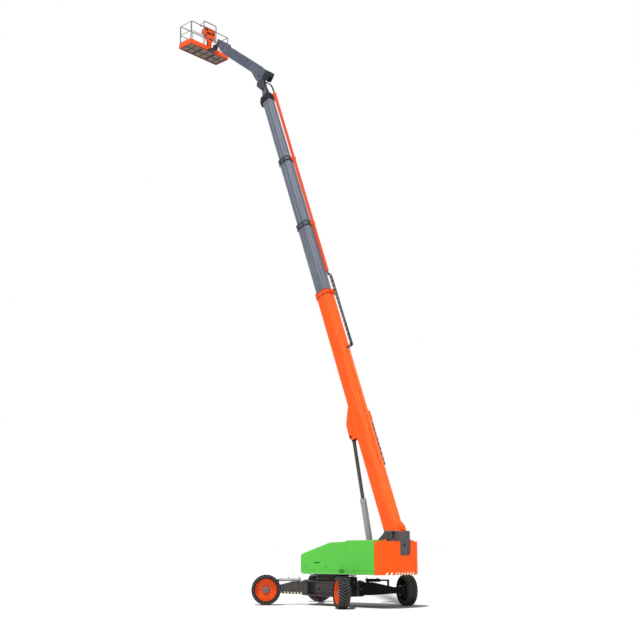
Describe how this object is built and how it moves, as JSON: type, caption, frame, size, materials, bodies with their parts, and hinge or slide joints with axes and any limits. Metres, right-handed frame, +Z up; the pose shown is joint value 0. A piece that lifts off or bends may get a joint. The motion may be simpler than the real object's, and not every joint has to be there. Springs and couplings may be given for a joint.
{
  "type": "telescopic boom lift",
  "caption": "Self-propelled telescopic boom lift: swing-out axles, slewing deck with tail weight, four-section boom, jib and railed work platform.",
  "frame": {"origin": "on the ground under the middle of the whole machine as it stands, boom raised", "axes": "+X towards the boom's head, +Y to the machine's left, +Z up"},
  "size_m": [12.6845, 4.4454, 27.8282],
  "materials": {
    "dark_frame": "satin dark grey paint",
    "grey_frame": "satin grey paint",
    "rim_orange": "gloss orange paint",
    "tyre": "matt black rubber",
    "counterweight": "gloss orange paint",
    "hood": "gloss green paint",
    "engine": "dark cast iron",
    "boom": "satin slate grey paint",
    "boom_orange": "satin orange paint",
    "chain": "matt black plastic",
    "cylinder": "satin light grey paint",
    "rod": "polished dark rod",
    "black_plastic": "matt black plastic",
    "rail": "satin light grey paint"
  },
  "bodies": {
    "chassis": {"chassis_frame": "grey_frame"},
    "arm_front_left": {"axle_arm_front_left": "grey_frame"},
    "knuckle_body_front_left": {"knuckle_front_left": "dark_frame"},
    "wheel_front_left": {"rim_front_left": "rim_orange", "tyre_front_left": "tyre"},
    "arm_front_right": {"axle_arm_front_right": "grey_frame"},
    "knuckle_body_front_right": {"knuckle_front_right": "dark_frame"},
    "wheel_front_right": {"rim_front_right": "rim_orange", "tyre_front_right": "tyre"},
    "arm_rear_left": {"axle_arm_rear_left": "grey_frame"},
    "knuckle_body_rear_left": {"knuckle_rear_left": "dark_frame"},
    "wheel_rear_left": {"rim_rear_left": "rim_orange", "tyre_rear_left": "tyre"},
    "arm_rear_right": {"axle_arm_rear_right": "grey_frame"},
    "knuckle_body_rear_right": {"knuckle_rear_right": "dark_frame"},
    "wheel_rear_right": {"rim_rear_right": "rim_orange", "tyre_rear_right": "tyre"},
    "turntable": {"turntable_frame": "dark_frame", "riser": "grey_frame", "counterweight": "counterweight", "engine": "engine"},
    "left_hood": {"hood_left": "hood"},
    "right_hood": {"hood_right": "hood"},
    "boom_base": {"boom_base_tube": "boom_orange", "boom_base_collar": "boom_orange", "lift_bracket": "boom_orange", "chain_tray": "boom_orange", "energy_chain": "chain"},
    "fly_1": {"fly_1_tube": "boom"},
    "fly_2": {"fly_2_tube": "boom"},
    "fly_3": {"fly_3_tube": "boom", "carrier_tube": "boom_orange"},
    "lift_barrel_body": {"lift_barrel": "cylinder"},
    "lift_rod_body": {"lift_rod": "rod"},
    "jib_link": {"jib_mount": "dark_frame"},
    "jib_arm": {"jib": "boom", "jib_drive_box": "black_plastic"},
    "jib_barrel_body": {"jib_barrel": "cylinder"},
    "jib_rod_body": {"jib_rod": "rod"},
    "rotator": {"platform_mount": "dark_frame"},
    "platform": {"platform_floor": "dark_frame", "toe_boards": "boom_orange", "platform_rails": "rail", "platform_console": "boom_orange"},
    "gate": {"platform_gate": "rail"}
  },
  "joints": [
    {"name": "axle_swing_front_left", "type": "hinge", "parent": "chassis", "child": "arm_front_left", "pos_m": [-1.547, 0.2859, 0.64], "axis": [0, 0, -1], "range_deg": [0, 33.8]},
    {"name": "steer_front_left", "type": "hinge", "parent": "arm_front_left", "child": "knuckle_body_front_left", "pos_m": [-0.532, 1.4979, 0.5775], "axis": [0, 0, 1], "range_deg": [-90, 0]},
    {"name": "roll_front_left", "type": "hinge", "parent": "knuckle_body_front_left", "child": "wheel_front_left", "pos_m": [-0.72999, 1.69589, 0.5775], "axis": [-0.7071, 0.7071, 0], "continuous": true},
    {"name": "axle_swing_front_right", "type": "hinge", "parent": "chassis", "child": "arm_front_right", "pos_m": [-1.547, -0.3141, 0.64], "axis": [0, 0, 1], "range_deg": [0, 33.8]},
    {"name": "steer_front_right", "type": "hinge", "parent": "arm_front_right", "child": "knuckle_body_front_right", "pos_m": [-0.532, -1.5261, 0.5775], "axis": [0, 0, 1], "range_deg": [-78, 12]},
    {"name": "roll_front_right", "type": "hinge", "parent": "knuckle_body_front_right", "child": "wheel_front_right", "pos_m": [-0.3795, -1.76093, 0.5775], "axis": [0.5446, -0.8387, 0], "continuous": true},
    {"name": "axle_swing_rear_left", "type": "hinge", "parent": "chassis", "child": "arm_rear_left", "pos_m": [-3.847, 0.2859, 0.64], "axis": [0, 0, 1], "range_deg": [0, 33.8]},
    {"name": "steer_rear_left", "type": "hinge", "parent": "arm_rear_left", "child": "knuckle_body_rear_left", "pos_m": [-4.862, 1.4979, 0.5775], "axis": [0, 0, 1], "range_deg": [-11, 79]},
    {"name": "roll_rear_left", "type": "hinge", "parent": "knuckle_body_rear_left", "child": "wheel_rear_left", "pos_m": [-4.70543, 1.73003, 0.5775], "axis": [0.5592, 0.829, 0], "continuous": true},
    {"name": "axle_swing_rear_right", "type": "hinge", "parent": "chassis", "child": "arm_rear_right", "pos_m": [-3.847, -0.3141, 0.64], "axis": [0, 0, -1], "range_deg": [0, 33.8]},
    {"name": "steer_rear_right", "type": "hinge", "parent": "arm_rear_right", "child": "knuckle_body_rear_right", "pos_m": [-4.862, -1.5261, 0.5775], "axis": [0, 0, 1], "range_deg": [-20, 70]},
    {"name": "roll_rear_right", "type": "hinge", "parent": "knuckle_body_rear_right", "child": "wheel_rear_right", "pos_m": [-4.98033, -1.77987, 0.5775], "axis": [-0.4226, -0.9063, 0], "continuous": true},
    {"name": "swing", "type": "hinge", "parent": "chassis", "child": "turntable", "pos_m": [-2.697, -0.0141, 1.2], "axis": [0, 0, 1], "continuous": true},
    {"name": "hood_left_lift", "type": "hinge", "parent": "turntable", "child": "left_hood", "pos_m": [-4.197, 0.4159, 2.35], "axis": [1, 0, 0], "range_deg": [0, 55]},
    {"name": "hood_right_lift", "type": "hinge", "parent": "turntable", "child": "right_hood", "pos_m": [-4.197, -0.4441, 2.35], "axis": [-1, 0, 0], "range_deg": [0, 55]},
    {"name": "boom_luff", "type": "hinge", "parent": "turntable", "child": "boom_base", "pos_m": [-6.032, -0.0141, 2.715], "axis": [0, -1, 0], "range_deg": [-70.2, 4.8]},
    {"name": "telescope", "type": "slide", "parent": "boom_base", "child": "fly_1", "axis": [0.3387, 0, 0.9409], "range_m": [-3.2, 4.8]},
    {"name": "telescope_2", "type": "slide", "parent": "fly_1", "child": "fly_2", "axis": [0.3387, 0, 0.9409], "range_m": [-3.2, 4.8]},
    {"name": "telescope_3", "type": "slide", "parent": "fly_2", "child": "fly_3", "axis": [0.3387, 0, 0.9409], "range_m": [-3.2, 4.8]},
    {"name": "lift_tilt", "type": "hinge", "parent": "turntable", "child": "lift_barrel_body", "pos_m": [-4.782, -0.0141, 1.45], "axis": [0, -1, 0], "range_deg": [-70.72, 4.93]},
    {"name": "lift_stroke", "type": "slide", "parent": "lift_barrel_body", "child": "lift_rod_body", "axis": [0.1881, 0, 0.9821], "range_m": [-2.0479, 0.1427]},
    {"name": "jib_level", "type": "hinge", "parent": "fly_3", "child": "jib_link", "pos_m": [1.4594, -0.0141, 22.94751], "axis": [0, -1, 0], "range_deg": [-4.9, 70.3]},
    {"name": "jib_luff", "type": "hinge", "parent": "jib_link", "child": "jib_arm", "pos_m": [1.6934, -0.0141, 23.67851], "axis": [0, 1, 0], "range_deg": [-25, 78]},
    {"name": "jib_tilt", "type": "hinge", "parent": "jib_link", "child": "jib_barrel_body", "pos_m": [1.6564, -0.0141, 23.46651], "axis": [0, 1, 0], "range_deg": [-20.98, 65.29]},
    {"name": "jib_stroke", "type": "slide", "parent": "jib_barrel_body", "child": "jib_rod_body", "axis": [0.674, 0, 0.7387], "range_m": [-0.2167, 0.0697]},
    {"name": "platform_level", "type": "hinge", "parent": "jib_arm", "child": "rotator", "pos_m": [4.66749, -0.0141, 26.39822], "axis": [0, 1, 0], "range_deg": [-78.1, 25.1]},
    {"name": "platform_turn", "type": "hinge", "parent": "rotator", "child": "platform", "pos_m": [5.06749, -0.0141, 26.27922], "axis": [0, 0, 1], "range_deg": [-90, 90]},
    {"name": "gate_swing", "type": "hinge", "parent": "platform", "child": "gate", "pos_m": [5.51049, 1.1759, 26.97922], "axis": [0, 0, -1], "range_deg": [0, 85]}
  ],
  "couplings": [
    {"joint": "telescope_2", "follows": "telescope", "ratio": 1},
    {"joint": "telescope_3", "follows": "telescope", "ratio": 1},
    {"joint": "lift_tilt", "follows": "boom_luff", "ratio": 1.006},
    {"joint": "lift_stroke", "follows": "boom_luff", "m_per_rad": 1.6691},
    {"joint": "jib_level", "follows": "boom_luff", "ratio": -1},
    {"joint": "jib_tilt", "follows": "jib_luff", "ratio": 0.836},
    {"joint": "jib_stroke", "follows": "jib_luff", "m_per_rad": -0.159},
    {"joint": "platform_level", "follows": "jib_luff", "ratio": -1}
  ]
}
